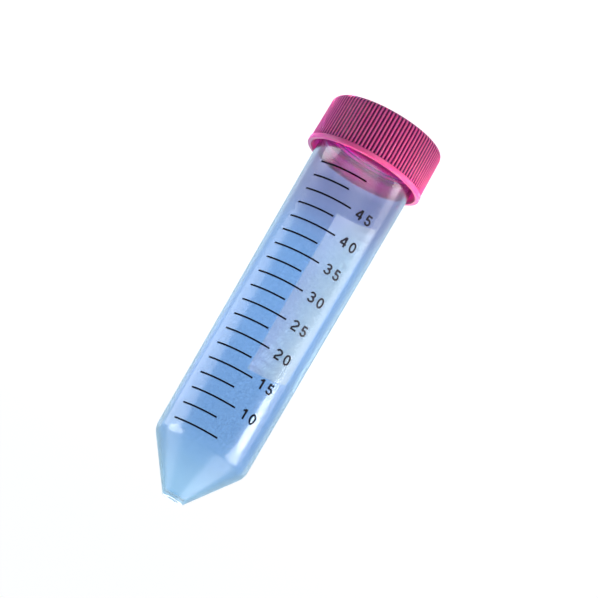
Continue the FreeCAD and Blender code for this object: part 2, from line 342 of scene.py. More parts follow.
# %% [markdown]
# ## The screw thread
#
# The thread is a ridge that climbs one lead in each turn. It could be a bar
# swept along a helix, but a bar stuck into a clear wall would show as a second
# solid inside the first. So the wall itself is pushed out where the ridge runs.
# For each point the tree works out how many turns along the helix the nearest
# stretch of ridge lies and how far away it is in height, and the ridge fades out
# at both ends as a moulded one does. With a negative height the same tree makes
# the cap's thread, which stands inwards.

# %% The thread tree
LEAD = 3.5 * MM
RIDGE_ROOT = 1.5 * MM
RIDGE_CREST = 0.6 * MM
FADE_TURNS = 0.2


def end_by_pushing(tree, given, place, radius, push):
    """Close a tree that moves each point straight out from the axis."""
    x, y, _ = split(tree, place)
    offset = join(tree, x / radius * push, y / radius * push, 0.0)
    moved = add_node(tree, "GeometryNodeSetPosition", Geometry=given["Geometry"], Offset=offset)
    return end_tree(tree, moved.outputs[0], given)


def thread_tree():
    tree, given = tree_of("thread", Start=0.0, Turns=2.0, Height=0.0, Root=RIDGE_ROOT,
                          Crest=RIDGE_CREST, Inner=0.0, Outer=1.0, Fade=FADE_TURNS)
    place = add_node(tree, "GeometryNodeInputPosition").outputs[0]
    radius, turn, height = around_axis(tree, place)
    climbed = (height - given["Start"]) / LEAD
    nearest = (climbed - turn).math("ROUND")
    along = nearest + turn
    away = (climbed - along).math("ABSOLUTE") * LEAD
    ridge = away.ramp(given["Root"] * 0.5, given["Crest"] * 0.5)
    fade = along.ramp(0.0, given["Fade"]) * (given["Turns"] - along).ramp(0.0, given["Fade"])
    on_wall = radius.above(given["Inner"]) * radius.below(given["Outer"])
    return end_by_pushing(tree, given, place, radius, ridge * fade * on_wall * given["Height"])


THREAD = thread_tree()

# %% [markdown]
# ## Plastics
#
# Both mouldings are ordinary glossy plastic, and what tells them from glass or
# paint is small: a slightly uneven gloss, and colour that lives in the material
# and not on it. Image textures could bring that unevenness, but they need an
# unwrapped surface and pinch at a pole. Noise that reads the place on the piece
# has no seam and stays put when the piece moves, and a zone can be told from its
# height, its radius or its angle.

# %% Helpers for materials
def new_material(name, **inputs):
    """A material whose Principled shader has these inputs."""
    material = bpy.data.materials.new(name)
    material.use_nodes = True
    tree = material.node_tree
    shader = tree.nodes["Principled BSDF"]
    for label, item in inputs.items():
        shader.inputs[label.replace("_", " ")].default_value = item
    return material, tree, shader


def finished(material):
    """Tell what a material took to make, and hand it on."""
    print(f"material {material.name}: {len(material.node_tree.nodes)} nodes")
    return material


def object_place(tree):
    return add_node(tree, "ShaderNodeTexCoord").outputs["Object"]


def noise(tree, place, scale, detail=3.0):
    """A noise field between 0 and 1, with scale in waves a metre."""
    node = add_node(tree, "ShaderNodeTexNoise", Vector=place, Scale=scale, Detail=detail)
    return Field(tree, node.outputs[0])


def mixed(tree, share, first, second):
    """The socket of a colour between two colours."""
    node = add_node(tree, "ShaderNodeMix", {"data_type": "RGBA"})
    plug(tree, share, node.inputs["Factor"])
    plug(tree, first, node.inputs[6])
    plug(tree, second, node.inputs[7])
    return node.outputs[2]


# %% [markdown]
# ## The tint of the tube
#
# The real wall lets light through, so its colour is what it filters out, and the
# blue deepens where a ray crosses more walls. A volume could do that too, but it
# is slow and noisy in a wall of 1 mm, and a tinted surface looks the same. The
# tint isn't even. The cone is paler. Towards the cap the wall is painted a warmer
# violet, and the neck a pale violet: a painted glow and painted reflection that
# stand in for the cap's pink light in the wall. The slopes of the thread are
# painted pale pink-white, a painted highlight for the light they catch. Under
# the panel it is nearly grey, because that white ink is seen through the wall. A
# fine grain between two blues keeps the body from looking like glass.

# %% Where each tint goes
PANEL_AZIMUTHS = (math.radians(122.6), math.radians(180.8))
PANEL_HEIGHTS = (RIM + 22.9 * MM, RIM + 73.8 * MM)
DEEP_BLUE = (0.30, 0.49, 0.73, 1)
LIGHT_BLUE = (0.45, 0.64, 0.87, 1)
TINT_AND_PAINTED_GLOW_ZONES = (
    (SHOULDER - 8 * MM, SHOULDER + 12 * MM, (0.60, 0.80, 0.96, 1)),
    # Painted glow: a warmer violet towards the cap, for the cap's pink light in the wall.
    (RIM + 40 * MM, RIM + 22 * MM, (0.38, 0.42, 0.62, 1)),
    # Painted glow and painted reflection: a pale violet neck, for the cap's light and the sheen
    # on it.
    (RIM + 16 * MM, RIM + 9 * MM, (0.87, 0.74, 1.0, 1)),
)
RIDGE_RISE = (NECK_RADIUS + 0.05 * MM, NECK_RADIUS + 0.7 * MM)
# Painted highlight: the thread's slopes are made pale pink-white, for the light they catch and
# the cap's pink.
PAINTED_SLOPE_HIGHLIGHT = (0.98, 0.88, 1.0, 1)
PANEL_TINT = (0.79, 0.77, 0.76, 1)
PANEL_SIDE_BLUR = 0.003
PANEL_END_BLUR = 0.2 * MM
QUARTER_TURN = 0.25


def tube_tint(tree, place, radius, turn, height):
    """The colour that the wall lets through at each place, with painted glow and highlights."""
    grain = noise(tree, place, scale=2100.0).ramp(0.3, 0.7)
    tint = mixed(tree, grain, DEEP_BLUE, LIGHT_BLUE)
    for start, end, zone_tint in TINT_AND_PAINTED_GLOW_ZONES:
        tint = mixed(tree, height.ramp(start, end), tint, zone_tint)
    risen = radius.ramp(*RIDGE_RISE)
    # Four times x times (1 - x) is 1 halfway up the ridge, and 0 at foot and crest.
    slope = (risen * (risen * -1.0 + 1.0) * 4.0).ramp(0.2, 0.9)
    # Painted highlight on the slopes of the thread.
    tint = mixed(tree, slope, tint, PAINTED_SLOPE_HIGHLIGHT)
    turns = [(-QUARTER_TURN - azimuth / math.tau) % 1 for azimuth in PANEL_AZIMUTHS]
    under_panel = (turn.between(min(turns), max(turns), PANEL_SIDE_BLUR)
                   * height.between(*PANEL_HEIGHTS, PANEL_END_BLUR))
    return mixed(tree, under_panel, tint, PANEL_TINT)


print(f"{len(TINT_AND_PAINTED_GLOW_ZONES)} zones of height are tinted on the tube")

# %% [markdown]
# ## The surface of the tube
#
# A moulded surface isn't a perfect mirror. Its roughness drifts from place to
# place, the cone is more satin than the body, and a wide, faint ripple bends
# reflections. Over that lies a fine orange peel. One roughness can't be both
# sharp and soft, so the peel belongs to a soft coat, which spreads a wide sheen
# over the sharper gloss below it.

# %% The tube's plastic
LEAST_HAZE = 0.04
HAZE_DRIFT = 0.03
BODY_SATIN = 0.03
CONE_SATIN = 0.18


def tube_plastic():
    material, tree, shader = new_material(
        "tube_plastic", Transmission_Weight=1.0, IOR=1.3, Coat_Weight=1.0, Coat_Roughness=0.27)
    place = object_place(tree)
    radius, turn, height = around_axis(tree, place)
    plug(tree, tube_tint(tree, place, radius, turn, height), shader.inputs["Base Color"])
    on_body = height.ramp(RIM + 12 * MM, RIM + 20 * MM)
    on_cone = height.ramp(SHOULDER - 1 * MM, SHOULDER + 1 * MM)
    satin = on_body * BODY_SATIN + on_cone * CONE_SATIN
    haze = noise(tree, place, scale=60.0) * HAZE_DRIFT + LEAST_HAZE + satin
    plug(tree, haze, shader.inputs["Roughness"])
    ripple = add_node(tree, "ShaderNodeBump", Strength=0.08, Distance=0.05 * MM,
                      Height=noise(tree, place, scale=50.0))
    plug(tree, ripple.outputs[0], shader.inputs["Normal"])
    peel = add_node(tree, "ShaderNodeBump", Strength=0.5, Distance=0.02 * MM,
                    Height=noise(tree, place, scale=2200.0, detail=2.0))
    plug(tree, peel.outputs[0], shader.inputs["Coat Normal"])
    return finished(material)


TUBE_PLASTIC = tube_plastic()

# %% [markdown]
# ## The tube
#
# The real tube is one moulding, made round a core that leaves the bore: a
# straight threaded neck, a body that tapers a little so that it leaves the
# mould, a cone and a small flat end with a dimple. It could be a single skin
# that a Solidify modifier thickens, but then the bore would copy the thread. So
# the section runs down the outside from the tip to the rim and back up the bore.
# The faces then point out of the plastic on both sides, which is what lets light
# bend the right way through the wall.

# %% Sweep the tube
TIP_RADIUS = 3.1 * MM
DIMPLE_RADIUS = 1.7 * MM
DIMPLE_FLOOR = TIP - 0.4 * MM
BORE_RADIUS = NECK_RADIUS - WALL
BORE_TIP_RADIUS = 2.9 * MM
BORE_FLOOR = TIP - 1.2 * MM
THREAD_TO = RIM + 11.4 * MM
THREAD_START = RIM + 2.3 * MM
RIDGE_HEIGHT = 0.86 * MM
WALL_REACH = 0.35 * MM

tube = grow("tube_shell", section_curve("tube_section", (
    (0, DIMPLE_FLOOR, 0, 0),
    (DIMPLE_RADIUS, DIMPLE_FLOOR, 0.15 * MM, 0),
    (DIMPLE_RADIUS, TIP, 0.15 * MM, 0),
    (TIP_RADIUS, TIP, 0.4 * MM, 0),
    (SHOULDER_RADIUS, SHOULDER, 5.0 * MM, 4 * MM),
    (NECK_RADIUS, NECK_END, 0, 0),
    (NECK_RADIUS, THREAD_TO, 0, 0.13 * MM),
    (NECK_RADIUS, RIM, 0.3 * MM, 0),
    (BORE_RADIUS, RIM, 0.2 * MM, 0),
    (BORE_RADIUS, NECK_END, 0, 4 * MM),
    (SHOULDER_RADIUS - WALL, SHOULDER - 0.1 * MM, 4.0 * MM, 0),
    (BORE_TIP_RADIUS, BORE_FLOOR, 1.8 * MM, 0),
    (0, BORE_FLOOR, 0, 0),
)), (
    (LATHE, {"Columns": ROUND_COLUMNS, "Material": TUBE_PLASTIC}),
    (THREAD, {"Start": THREAD_START, "Turns": 2.25, "Height": RIDGE_HEIGHT,
              "Inner": NECK_RADIUS - WALL_REACH, "Material": TUBE_PLASTIC}),
))
shown(tube, "tube", "clear_blue_plastic", "tube")


# %% [markdown]
# ## The cap's plastic
#
# The real cap is dyed plastic that isn't quite opaque: light enters it and comes
# out pinker nearby. Pink paint would look dead next to it, so the shader uses
# subsurface scattering, which does just that. It reaches far inside the skirt,
# where the cap glows, and hardly at all in the ribs, which would lose their
# edges. Scattering also washes out the shade in such narrow grooves, so that
# shade is painted: the groove floors get a deep colour by the same rule that
# cuts them.

# %% The rule for the ribs
RIB_COUNT = 96
GROOVE_WIDTH = 0.66
GROOVE_FLOOR = 0.20


def rib_groove(turn, count):
    """1 in the middle of a groove and 0 on the ribs, for a place given in turns."""
    phase = (turn * count + 0.5).math("FRACT") - 0.5
    return (phase.math("ABSOLUTE") * 2.0).ramp(GROOVE_WIDTH, GROOVE_FLOOR)


print(f"{RIB_COUNT} ribs, {360 / RIB_COUNT:.2f} degrees apart")

# %% The cap's material
DEEP_PINK = (0.74, 0.085, 0.30, 1)
LIGHT_PINK = (0.78, 0.105, 0.33, 1)
# Painted shade: this dark pink stands in for the shade in the grooves.
PAINTED_GROOVE_SHADE = (0.13, 0.001, 0.085, 1)
SKIRT_INSIDE = 16.0 * MM
SKIRT_OUTSIDE = 16.3 * MM
RIBBED_HEIGHTS = (0.1 * MM, 13.3 * MM)
RIBBED_BLUR = 0.3 * MM
LEAST_ROUGHNESS = 0.24
ROUGHNESS_DRIFT = 0.10
RIB_REACH = 0.1 * MM
INSIDE_REACH = 2.8 * MM


def cap_plastic():
    material, tree, shader = new_material(
        "cap_plastic", Roughness=0.3, IOR=1.5, Subsurface_Weight=1.0,
        Subsurface_Radius=(1.0, 0.5, 1.3), Coat_Weight=0.03, Coat_Roughness=0.15,
        Specular_IOR_Level=0.2)
    place = object_place(tree)
    radius, turn, height = around_axis(tree, place)
    pink = mixed(tree, noise(tree, place, scale=90.0), DEEP_PINK, LIGHT_PINK)
    # Painted shade: the groove mask lays the dark pink on the groove floors.
    groove = rib_groove(turn, RIB_COUNT).ramp(0.1, 0.6)
    on_ribs = (height.between(*RIBBED_HEIGHTS, RIBBED_BLUR)
               * radius.ramp(SKIRT_INSIDE, SKIRT_OUTSIDE))
    plug(tree, mixed(tree, groove * on_ribs, pink, PAINTED_GROOVE_SHADE), shader.inputs["Base Color"])
    roughness = noise(tree, place, scale=400.0) * ROUGHNESS_DRIFT + LEAST_ROUGHNESS
    plug(tree, roughness, shader.inputs["Roughness"])
    reach = radius.ramp(SKIRT_OUTSIDE, SKIRT_INSIDE) * INSIDE_REACH + RIB_REACH
    plug(tree, reach, shader.inputs["Subsurface Scale"])
    return finished(material)


CAP_PLASTIC = cap_plastic()

# %% [markdown]
# ## The ribs
#
# Fine upright ribs give the fingers grip. They could be 96 bars laid on the
# skirt, but they are cut here as the real mould cuts them: one closed skin that
# dips between the ribs. Each groove has a floor that leans with the skirt, and
# only what stands further out than that floor is pushed in. So the grooves start
# at the plain band round the mouth, and run out by themselves in the rounded
# edge of the top.

# %% The rib tree
HEAD_RADIUS = 17.0 * MM
SKIRT_LEAN = 0.25 / 13.6
GROOVE_DEPTH = 0.5 * MM
GROOVE_RUN_OUT = 0.3 * MM


def rib_tree():
    tree, given = tree_of("ribs", Count=float(RIB_COUNT), Depth=GROOVE_DEPTH, Foot=1.0,
                          Outside=0.0)
    place = add_node(tree, "GeometryNodeInputPosition").outputs[0]
    radius, turn, height = around_axis(tree, place)
    groove = rib_groove(turn, given["Count"])
    foot = (given["Foot"] - height).ramp(0.0, GROOVE_RUN_OUT)
    skirt = height * SKIRT_LEAN + HEAD_RADIUS
    floor_radius = skirt - groove * foot * given["Depth"]
    cut = (radius - floor_radius).math("MAXIMUM", 0.0)
    ribbed = radius.above(given["Outside"]) * height.below(given["Foot"])
    return end_by_pushing(tree, given, place, radius, cut * ribbed * -1.0)


RIBS = rib_tree()

# %% [markdown]
# ## The cap
#
# The real cap is one moulding too. Its section goes up the inside first: the
# disc, a bead that holds the liner, the thread and the mouth, and then down the
# ribbed outside. It could be a cylinder with its inside hollowed out by a
# Boolean, but a section gives every edge its own rounding in one go. The lathe
# takes 8 columns for each rib, so that all the ribs get the same shape.

# %% Sweep the cap
COLUMNS_PER_RIB = 8
DISC = CAP_TOP + 1.6 * MM
SKIRT_BORE = 15.9 * MM
BEAD = RIM + 0.25 * MM
BEAD_RADIUS = SKIRT_BORE - 0.45 * MM
BAND_FOOT = MOUTH - 1.4 * MM
BAND_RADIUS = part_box("screw_cap")[1].x
CAP_THREAD_START = RIM + 3.488 * MM
CAP_RIDGE_HEIGHT = 0.9 * MM
ON_BORE = 0.05 * MM

cap = grow("cap_shell", section_curve("cap_section", (
    (0, DISC, 0, 0),
    (SKIRT_BORE, DISC, 0.2 * MM, 0),
    (SKIRT_BORE, BEAD, 0, 0),
    (BEAD_RADIUS, BEAD + 0.35 * MM, 0.2 * MM, 0),
    (BEAD_RADIUS, BEAD + 0.55 * MM, 0.2 * MM, 0),
    (SKIRT_BORE, BEAD + 0.9 * MM, 0, 0.3 * MM),
    (SKIRT_BORE, MOUTH - 0.9 * MM, 0, 0),
    (SKIRT_BORE + 0.5 * MM, MOUTH, 0.15 * MM, 0),
    (BAND_RADIUS, MOUTH, 0.35 * MM, 0),
    (BAND_RADIUS, BAND_FOOT, 0.2 * MM, 0),
    (HEAD_RADIUS + 0.25 * MM, BAND_FOOT, 0, 0),
    (HEAD_RADIUS + 0.244 * MM, BAND_FOOT - 0.3 * MM, 0, 2 * MM),
    (HEAD_RADIUS, CAP_TOP, 2.0 * MM, 0),
    (0, CAP_TOP, 0, 0),
)), (
    (LATHE, {"Columns": float(RIB_COUNT * COLUMNS_PER_RIB), "Material": CAP_PLASTIC}),
    # The start leaves the cap's ridge 0.3 mm clear of the side of the tube's ridge.
    (THREAD, {"Start": CAP_THREAD_START, "Turns": 2.05, "Height": -CAP_RIDGE_HEIGHT,
              "Inner": SKIRT_BORE - ON_BORE, "Outer": SKIRT_BORE + ON_BORE,
              "Material": CAP_PLASTIC}),
    (RIBS, {"Foot": BAND_FOOT, "Outside": SKIRT_OUTSIDE, "Material": CAP_PLASTIC}),
))
shown(cap, "cap", "pink_plastic", "screw_cap")

# %% [markdown]
# ## Wrapping the print
#
# The scale, its numbers and the panel are all flat artwork wrapped on the wall,
# so one tree wraps them all. Flat x is the way along the wall at one reference
# radius, flat y is the height with the cap up, and flat z is the thickness of
# the ink. Drawing flat and wrapping last is also how a label designer works. A
# Shrinkwrap modifier could press the artwork on the tube, but it looks for the
# nearest wall and may find the bore, and a formula always finds the outside.

# %% The wrapping tree
REFERENCE = 14.3 * MM


def along_wall(degrees):
    """The way along the wall at the reference radius for an angle."""
    return math.radians(degrees) * REFERENCE


def wrap_tree():
    tree, given = tree_of("wrap_on_wall", Gap=0.01 * MM)
    place = add_node(tree, "GeometryNodeInputPosition").outputs[0]
    x, y, lift = split(tree, place)
    height = y * -1.0
    azimuth = x / REFERENCE
    radius = (height - NECK_END) * -TAPER + NECK_RADIUS + lift + given["Gap"]
    wrapped = join(tree, azimuth.math("SINE") * radius * -1.0,
                   azimuth.math("COSINE") * radius * -1.0, height)
    moved = add_node(tree, "GeometryNodeSetPosition", Geometry=given["Geometry"],
                     Position=wrapped)
    return end_tree(tree, moved.outputs[0], given)


WRAP = wrap_tree()

# %% [markdown]
# ## A film of ink
#
# Real print is a film a few hundredths of a millimetre thick. It could be a dark
# area in the tube's material, but then it would shine and bend light as the
# plastic does. So the artwork becomes a thin closed body of its own: Extrude
# Mesh lifts it and makes its sides, and a copy that is turned over closes the
# underside.

# %% The film tree
INK = 0.04 * MM


def thicken_tree():
    tree, given = tree_of("thicken", Thickness=INK)
    raised = add_node(tree, "GeometryNodeExtrudeMesh", Mesh=given["Geometry"], Individual=False,
                      Offset_Scale=given["Thickness"], Offset=(0, 0, 1))
    under = add_node(tree, "GeometryNodeFlipFaces", Mesh=given["Geometry"])
    both = add_node(tree, "GeometryNodeJoinGeometry")
    tree.links.new(raised.outputs[0], both.inputs[0])
    tree.links.new(under.outputs[0], both.inputs[0])
    closed = add_node(tree, "GeometryNodeMergeByDistance", Geometry=both.outputs[0],
                      Distance=0.001 * MM)
    return end_tree(tree, closed.outputs[0], given)


THICKEN = thicken_tree()


# %% From artwork to print
def blank(name):
    """An empty mesh object for a tree to start from."""
    start = bpy.data.objects.new(name, bpy.data.meshes.new(name))
    bpy.context.scene.collection.objects.link(start)
    return start


def printed(name, start, ink, *drawing):
    """Draw artwork flat with the given trees, make it a film and wrap it on the wall."""
    steps = (*drawing, (THICKEN, {}), (WRAP, {}))
    return grow(name, start, [(tree, {**sizes, "Material": ink}) for tree, sizes in steps])


print(f"the ink is {1000 * INK:.2f} mm thick")

# %% [markdown]
# ## The black ink
#
# Ink on plastic dries matt and a little uneven, because the wall doesn't soak it
# up. A plain black would do from afar. Close up, a speckle between two nearly
# black colours and a weak shine keep it from looking like a hole in the wall.

# %% The black ink's material
INK_BLACK = (0.002, 0.002, 0.004, 1)
INK_GREY = (0.008, 0.008, 0.012, 1)


def black_ink():
    material, tree, shader = new_material("black_print", Roughness=0.8, Specular_IOR_Level=0.05)
    speckle = noise(tree, object_place(tree), scale=2500.0)
    plug(tree, mixed(tree, speckle, INK_BLACK, INK_GREY), shader.inputs["Base Color"])
    return finished(material)


BLACK_INK = black_ink()

# %% [markdown]
# ## The scale
#
# The scale is 19 lines, one for every 2.5 ml, and every second line is longer.
# The bore is a little wider near the neck, so the lines are not quite evenly
# spaced: a level is where the volume below it has grown by the right amount. In
# a cone the cube of the radius grows evenly with the volume, which gives the
# formula in the tree. A list of heights would do too, but a rule stays right
# when the bore changes.

# %% The scale tree
TO_FIRST_LEVEL = 3.39 * MM
FIRST_LEVEL = SHOULDER - TO_FIRST_LEVEL
BORE_AT_FIRST = SHOULDER_RADIUS - WALL + TAPER * TO_FIRST_LEVEL
MARK_STEP_VOLUME = 2.5e-6
CUBE_STEP = 3 * TAPER * MARK_STEP_VOLUME / math.pi
MARK_COUNT = 19
MARK_WIDTH = 0.5 * MM
POINTS_ALONG_MARK = 49


def scale_tree():
    tree, given = tree_of("scale", Count=MARK_COUNT, Width=MARK_WIDTH, Left=0.0, Long=1.0,
                          Short=0.8)
    points = add_node(tree, "GeometryNodePoints", Count=given["Count"])
    index = Field(tree, add_node(tree, "GeometryNodeInputIndex").outputs[0])
    cubed = index * CUBE_STEP + BORE_AT_FIRST ** 3
    level = (cubed.math("POWER", 1 / 3) - BORE_AT_FIRST) / -TAPER + FIRST_LEVEL
    placed = add_node(tree, "GeometryNodeSetPosition", Geometry=points.outputs[0],
                      Position=join(tree, given["Left"], level * -1.0, 0.0))
    strip = add_node(tree, "GeometryNodeMeshGrid", Size_X=1.0, Size_Y=given["Width"],
                     Vertices_X=POINTS_ALONG_MARK, Vertices_Y=2)
    from_left = add_node(tree, "GeometryNodeTransform", Geometry=strip.outputs[0],
                         Translation=(0.5, 0, 0))
    odd = index.math("MODULO", 2.0)
    length = given["Long"] + odd * (given["Short"] - given["Long"])
    lines = add_node(tree, "GeometryNodeInstanceOnPoints", Points=placed.outputs[0],
                     Instance=from_left.outputs[0], Scale=join(tree, length, 1.0, 1.0))
    return end_tree(tree, lines.outputs[0], given)


# %% Print the scale
MARKS_LEFT = along_wall(-49.6)
LONG_MARK = along_wall(58.4)
SHORT_MARK = along_wall(46.4)

scale = printed("scale_lines", blank("scale_start"), BLACK_INK, (
    scale_tree(), {"Left": MARKS_LEFT, "Long": LONG_MARK, "Short": SHORT_MARK},
))
shown(scale, "tube", "black_ink", "graduation_marks")

# %% [markdown]
# ## The numbers
#
# Scale numbers are cut as plain strokes of one width, so that they stay legible
# in a thin ink film. A ready font could be used, but its strokes swell and thin
# when the outline is offset. Here each digit is a few pen paths in a box one
# unit high: a path is a list of places, and an oval arc is written as its
# centre, its two radii and its two angles.

# %% Pen paths
OVAL_STEP = 12


def oval(x, y, wide, high, start, end):
    """Places along an oval arc, with the angles in degrees."""
    count = math.ceil(abs(end - start) / OVAL_STEP)
    angles = [math.radians(start + (end - start) * share / count) for share in range(count + 1)]
    return [(x + wide * math.cos(angle), y + high * math.sin(angle)) for angle in angles]


DIGITS = {
    "0": [oval(0.32, 0.5, 0.25, 0.43, 90, 450)],
    "1": [[(0.41, 0.0), (0.41, 1.0)], [(0.13, 0.77), (0.26, 0.79), (0.34, 0.86), (0.38, 0.97)]],
    "2": [oval(0.32, 0.70, 0.25, 0.23, 170, -30) + [(0.36, 0.42), (0.17, 0.28), (0.08, 0.14)],
          [(0.03, 0.07), (0.58, 0.07)]],
    "3": [oval(0.31, 0.735, 0.22, 0.195, 165, -90), oval(0.31, 0.305, 0.25, 0.235, 90, -165),
          [(0.22, 0.54), (0.33, 0.54)]],
    "4": [[(0.45, 0.0), (0.45, 1.0)], [(0.41, 0.96), (0.06, 0.32)], [(0.0, 0.30), (0.62, 0.30)]],
    "5": [[(0.56, 0.93), (0.10, 0.93)], [(0.16, 0.96), (0.11, 0.47)],
          oval(0.31, 0.32, 0.25, 0.25, 143, -165)],
}
print(f"{len(DIGITS)} digits from {sum(len(paths) for paths in DIGITS.values())} pen paths")

# %% Ribbons along the paths
PEN = 0.18
FIRST_MARK_ML = 5
MILLILITRE = 1e-6


def level_of(millilitres):
    """Height of the level for a volume, from the same rule as the scale's tree."""
    steps = (millilitres - FIRST_MARK_ML) * MILLILITRE / MARK_STEP_VOLUME
    cubed = steps * CUBE_STEP + BORE_AT_FIRST ** 3
    return FIRST_LEVEL - (cubed ** (1 / 3) - BORE_AT_FIRST) / TAPER


def stroke(vertices, faces, path):
    """Add one pen path as a flat ribbon, facing up."""
    spots = [Vector(place) for place in path]
    base = len(vertices)
    for index, spot in enumerate(spots):
        ahead = spots[min(index + 1, len(spots) - 1)]
        behind = spots[max(index - 1, 0)]
        across = (ahead - behind).normalized().orthogonal() * PEN / 2
        vertices += [spot + across, spot - across]
    for row in range(base, len(vertices) - 2, 2):
        faces.append((row, row + 1, row + 3, row + 2))


print(f"the 25 ml level is {1000 * level_of(25):.2f} mm above the flat top of the cap")

# %% Print the numbers
DIGIT_HEIGHT = 3.0 * MM
DIGIT_WIDTH = 1.08 * DIGIT_HEIGHT
DIGIT_ADVANCE = 3.15 * MM
DIGIT_MIDDLE = 0.32
NUMBERS_MIDDLE = along_wall(27.1)
NUMBERED_LEVELS = range(10, 50, 5)


def number_mesh():
    """All the numbers as flat artwork, upright with the cap up."""
    vertices, faces = [], []
    for number in NUMBERED_LEVELS:
        middle = Vector((NUMBERS_MIDDLE, -level_of(number)))
        for place, digit in enumerate(str(number)):
            left = (place - 0.5) * DIGIT_ADVANCE - DIGIT_MIDDLE * DIGIT_WIDTH
            corner = middle + Vector((left, -DIGIT_HEIGHT / 2))
            first = len(vertices)
            for path in DIGITS[digit]:
                stroke(vertices, faces, path)
            vertices[first:] = [corner + Vector((spot.x * DIGIT_WIDTH, spot.y * DIGIT_HEIGHT))
                                for spot in vertices[first:]]
    start = blank("number_start")
    start.data.from_pydata([(spot.x, spot.y, 0) for spot in vertices], [], faces)
    return start


numbers = printed("scale_numbers", number_mesh(), BLACK_INK)
shown(numbers, "tube", "black_ink")

# %% [markdown]
# ## The writing panel
#
# Round the back, the real tube has a block of white ink with round corners,
# rough enough to take a pen. From the front it is seen from its back, through
# both walls, and it glows, because the light behind it passes the thin ink. A
# Translucent shader could give that glow, but subsurface scattering gives both
# sides at once: white paint from behind and a lit screen from the front. The
# shape is one rounded rectangle, filled, and divided so that it can bend round
# the wall.

# %% The white ink
PANEL_SHADE = (0.78, 0.83, 0.74, 1)
PANEL_WHITE = (0.86, 0.90, 0.80, 1)


def panel_ink():
    material, tree, shader = new_material(
        "frosted_panel", Roughness=0.6, Subsurface_Weight=1.0,
        Subsurface_Radius=(1.0, 1.0, 1.0), Subsurface_Scale=0.5 * MM)
    mottle = noise(tree, object_place(tree), scale=700.0)
    plug(tree, mixed(tree, mottle, PANEL_SHADE, PANEL_WHITE), shader.inputs["Base Color"])
    return finished(material)


PANEL_INK = panel_ink()

# %% The panel tree
PANEL_CORNER = 1.3 * MM


def panel_tree():
    tree, given = tree_of("panel", Left=0.0, Right=1.0, Low=0.0, High=1.0, Corner=PANEL_CORNER)
    box = add_node(tree, "GeometryNodeCurvePrimitiveQuadrilateral",
                   Width=given["Right"] - given["Left"], Height=given["High"] - given["Low"])
    rounded_box = add_node(tree, "GeometryNodeFilletCurve", {"mode": "POLY"},
                           Curve=box.outputs[0], Count=6, Radius=given["Corner"])
    filled = add_node(tree, "GeometryNodeFillCurve", Curve=rounded_box.outputs[0])
    small = add_node(tree, "GeometryNodeSubdivideMesh", Mesh=filled.outputs[0], Level=4)
    middle = join(tree, (given["Left"] + given["Right"]) * 0.5,
                  (given["Low"] + given["High"]) * 0.5, 0.0)
    placed = add_node(tree, "GeometryNodeTransform", Geometry=small.outputs[0],
                      Translation=middle)
    return end_tree(tree, placed.outputs[0], given)


# %% Print the panel
panel = printed("panel_film", blank("panel_start"), PANEL_INK, (
    panel_tree(), {"Left": REFERENCE * PANEL_AZIMUTHS[0], "Right": REFERENCE * PANEL_AZIMUTHS[1],
                   "Low": -PANEL_HEIGHTS[1], "High": -PANEL_HEIGHTS[0]},
))
shown(panel, "tube", "white_ink", "writing_panel")


# %% [markdown]
# ## The liner
#
# The liner is a soft disc of closed foam that the rim presses on. It could be
# modelled again with a dent from the rim, but it only shows when the cap is off.
# Its solid is already right, so it keeps it and only gets its finish: small
# cells, made by a Voronoi texture in colour and in bump.

# %% Foam
CELL_MIDDLE = (0.90, 0.90, 0.88, 1)
CELL_EDGE = (0.80, 0.80, 0.78, 1)


def foam():
    material, tree, shader = new_material("liner_foam", Roughness=0.85)
    cells = add_node(tree, "ShaderNodeTexVoronoi", Vector=object_place(tree), Scale=2200.0)
    distance = cells.outputs["Distance"]
    bump = add_node(tree, "ShaderNodeBump", Strength=0.3, Distance=0.05 * MM, Height=distance)
    plug(tree, mixed(tree, distance, CELL_MIDDLE, CELL_EDGE), shader.inputs["Base Color"])
    plug(tree, bump.outputs[0], shader.inputs["Normal"])
    return finished(material)


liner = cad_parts["cap_liner"]
liner.data.materials.clear()
liner.data.materials.append(foam())


# %% [markdown]
# ## Floor and surround
#
# A clear tube has hardly a look of its own: it shows what is behind it and what
# it mirrors. A lit white floor would do, but its brightness would follow every
# lamp, so this one glows by itself and stays even. It sends no light to matt
# surfaces and isn't mirrored, or it would fill the cap's shade from below. Round
# it stands a large tent in pale blue, which the wall mirrors where it is seen at
# a slant, so it draws the tube's edges light. The matt parts don't see the tent
# but the world behind it, whose faint blue fills their shade.

# %% Floor, tent and world
FLOOR_WHITE = (1, 1, 1, 1)
TENT_BLUE = (0.60, 0.85, 1.0, 1)
WORLD_BLUE = (0.60, 0.78, 1.0, 1)
DULL = (0.2, 0.2, 0.2, 1)


def stage_piece(name, colour, strength, hidden_from):
    """Name the piece just added, let it glow, and hide it from some kinds of ray."""
    piece = bpy.context.object
    piece.name = name
    paint = new_material(
        f"{name}_paint", Base_Color=DULL, Roughness=1.0, Specular_IOR_Level=0.0,
        Emission_Color=colour, Emission_Strength=strength)[0]
    piece.data.materials.append(paint)
    for kind in hidden_from:
        setattr(piece, f"visible_{kind}", False)
    print(f"{name}: {piece.dimensions.x:.1f} m wide")


bpy.ops.mesh.primitive_plane_add(size=6.0)
stage_piece("floor", FLOOR_WHITE, strength=0.95, hidden_from=("diffuse", "glossy", "shadow"))
bpy.ops.mesh.primitive_ico_sphere_add(subdivisions=4, radius=2.0)
stage_piece("tent", TENT_BLUE, strength=0.9, hidden_from=("diffuse", "shadow"))

world = bpy.data.worlds.new("studio")
bpy.context.scene.world = world
world.use_nodes = True
background = world.node_tree.nodes["Background"]
background.inputs["Color"].default_value = WORLD_BLUE
background.inputs["Strength"].default_value = 0.30

